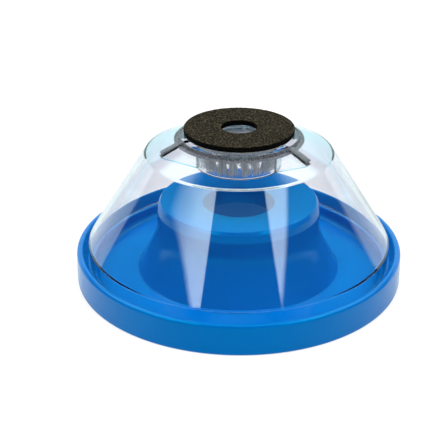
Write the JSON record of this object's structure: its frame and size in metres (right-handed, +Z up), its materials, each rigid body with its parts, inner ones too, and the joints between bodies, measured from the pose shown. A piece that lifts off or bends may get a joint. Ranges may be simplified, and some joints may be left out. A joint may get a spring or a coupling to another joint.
{
  "type": "drill dust catcher",
  "caption": "Drill dust catcher: blue ring-shaped tray with a hollow centre under a clear lift-off cone with a ring brush and a foam seal around the bit hole.",
  "frame": {"origin": "on the axis, in the plane the tray stands on", "axes": "+Z up along the drill's axis, out through the foam ring; -Y is the side towards the viewer"},
  "size_m": [0.1104, 0.1104, 0.0524],
  "materials": {
    "blue_plastic": "glossy moulded polypropylene",
    "clear_plastic": "clear polished moulding",
    "black_foam": "open-cell foam",
    "adhesive": "clear double-sided tape",
    "brush_ring_plastic": "natural white nylon",
    "bristle": "natural nylon filament"
  },
  "bodies": {
    "tray": {"base_tray": "blue_plastic"},
    "cover": {"clear_cover": "clear_plastic", "foam_ring": "black_foam", "adhesive_ring": "adhesive", "brush_ring": "brush_ring_plastic", "outer_tuft_01": "bristle", "outer_tuft_02": "bristle", "outer_tuft_03": "bristle", "outer_tuft_04": "bristle", "outer_tuft_05": "bristle", "outer_tuft_06": "bristle", "outer_tuft_07": "bristle", "outer_tuft_08": "bristle", "outer_tuft_09": "bristle", "outer_tuft_10": "bristle", "outer_tuft_11": "bristle", "outer_tuft_12": "bristle", "outer_tuft_13": "bristle", "outer_tuft_14": "bristle", "outer_tuft_15": "bristle", "outer_tuft_16": "bristle", "outer_tuft_17": "bristle", "outer_tuft_18": "bristle", "outer_tuft_19": "bristle", "outer_tuft_20": "bristle", "inner_tuft_01": "bristle", "inner_tuft_02": "bristle", "inner_tuft_03": "bristle", "inner_tuft_04": "bristle", "inner_tuft_05": "bristle", "inner_tuft_06": "bristle", "inner_tuft_07": "bristle", "inner_tuft_08": "bristle", "inner_tuft_09": "bristle", "inner_tuft_10": "bristle", "inner_tuft_11": "bristle", "inner_tuft_12": "bristle"}
  },
  "joints": [
    {"name": "cover_lift", "type": "slide", "parent": "tray", "child": "cover", "axis": [0, 0, 1], "range_m": [0, 0.045]}
  ]
}
